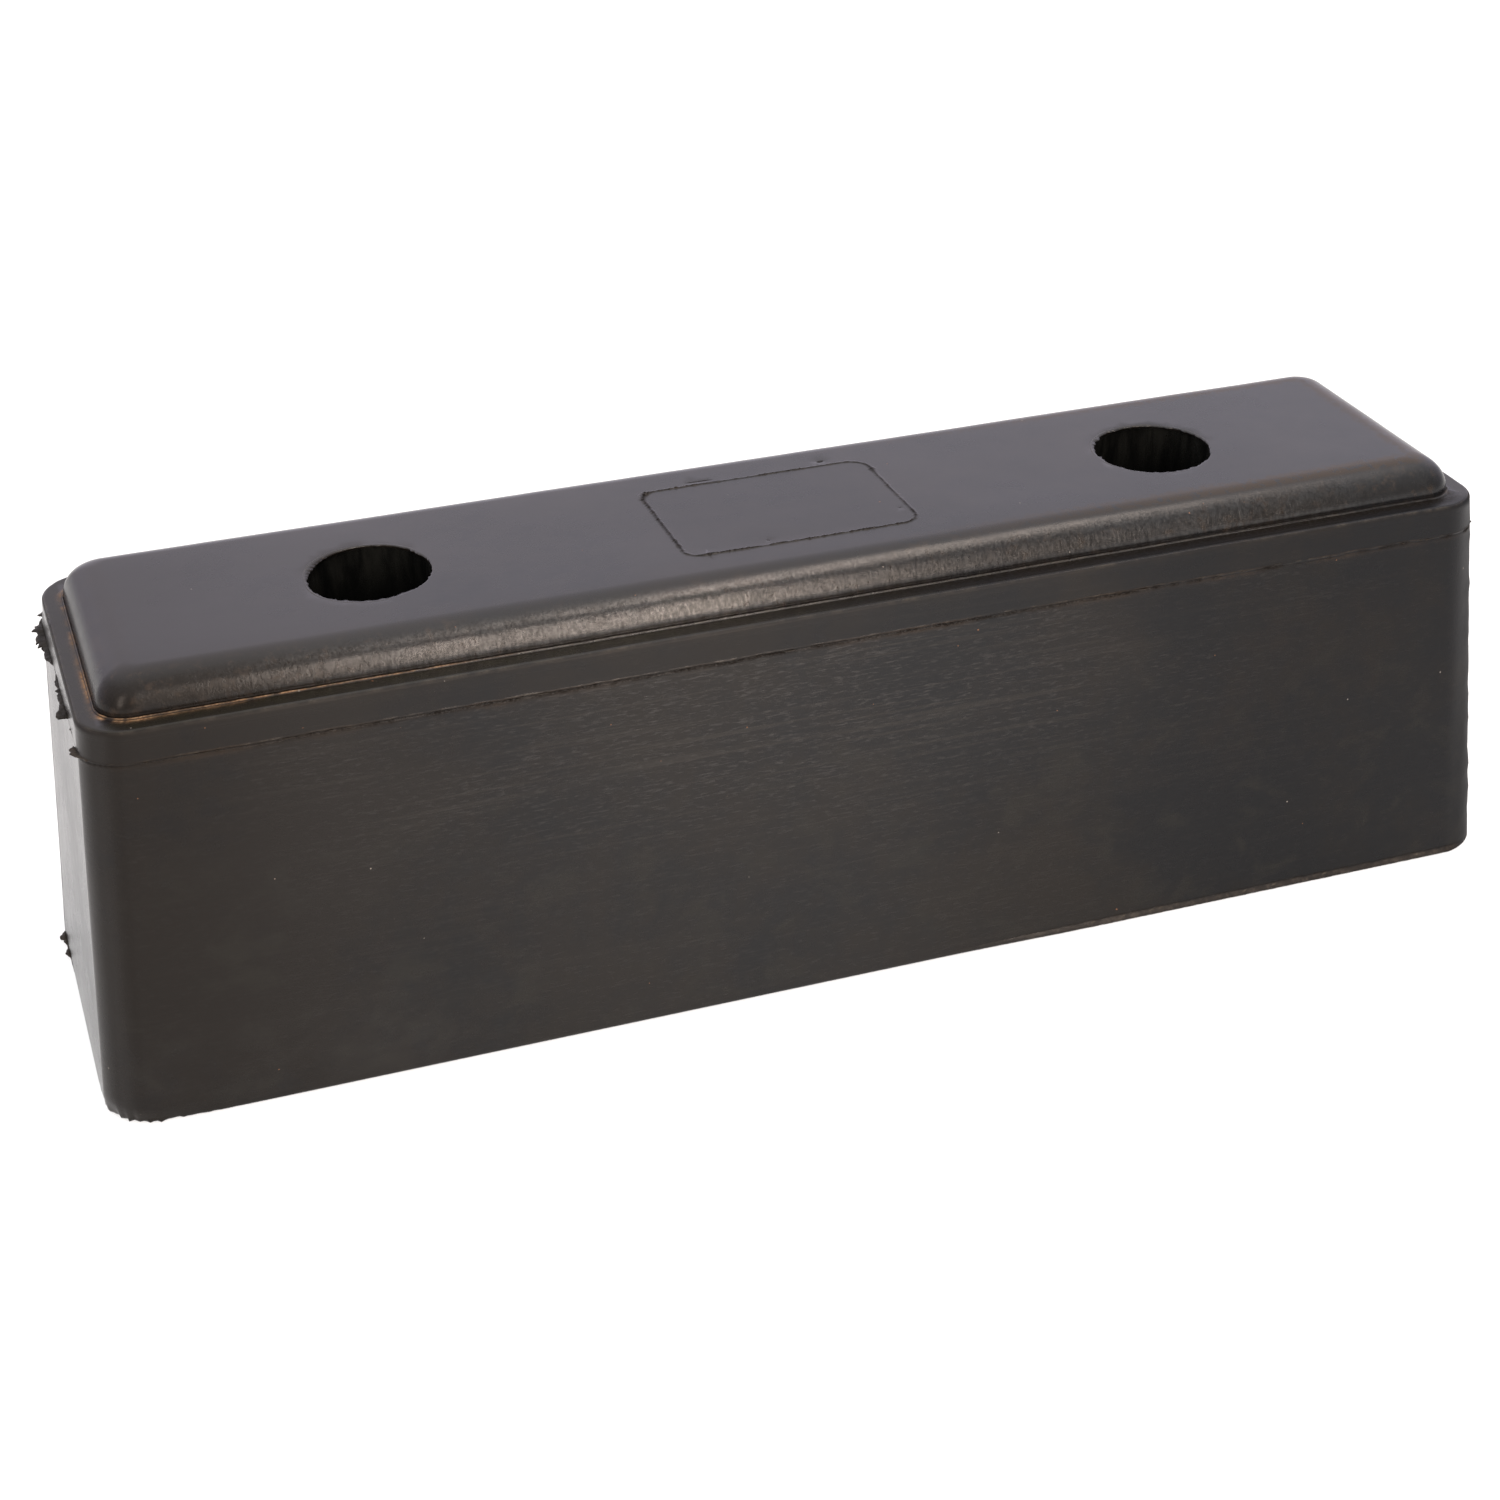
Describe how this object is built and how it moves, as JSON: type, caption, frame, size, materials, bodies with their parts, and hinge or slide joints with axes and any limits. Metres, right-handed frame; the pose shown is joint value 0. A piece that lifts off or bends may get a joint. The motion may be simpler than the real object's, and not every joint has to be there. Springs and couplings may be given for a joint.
{
  "type": "rubber bumper block",
  "caption": "Solid moulded rubber impact block with tapered sides, a raised rounded cap and counterbored fixing holes over a bonded steel insert.",
  "frame": {"origin": "centre of the flat mounting face, midway between the fixing holes", "axes": "+X along the block from hole to hole, +Y across it, +Z out of the mounting face towards the raised cap"},
  "size_m": [0.3224, 0.0892, 0.095],
  "materials": {
    "rubber": "satin as-moulded black rubber",
    "steel": "plain steel, darkened by vulcanising"
  },
  "bodies": {
    "root": {"rubber_block": "rubber", "insert_plate": "steel", "spacer_bush_left": "steel", "spacer_bush_right": "steel"}
  },
  "joints": []
}
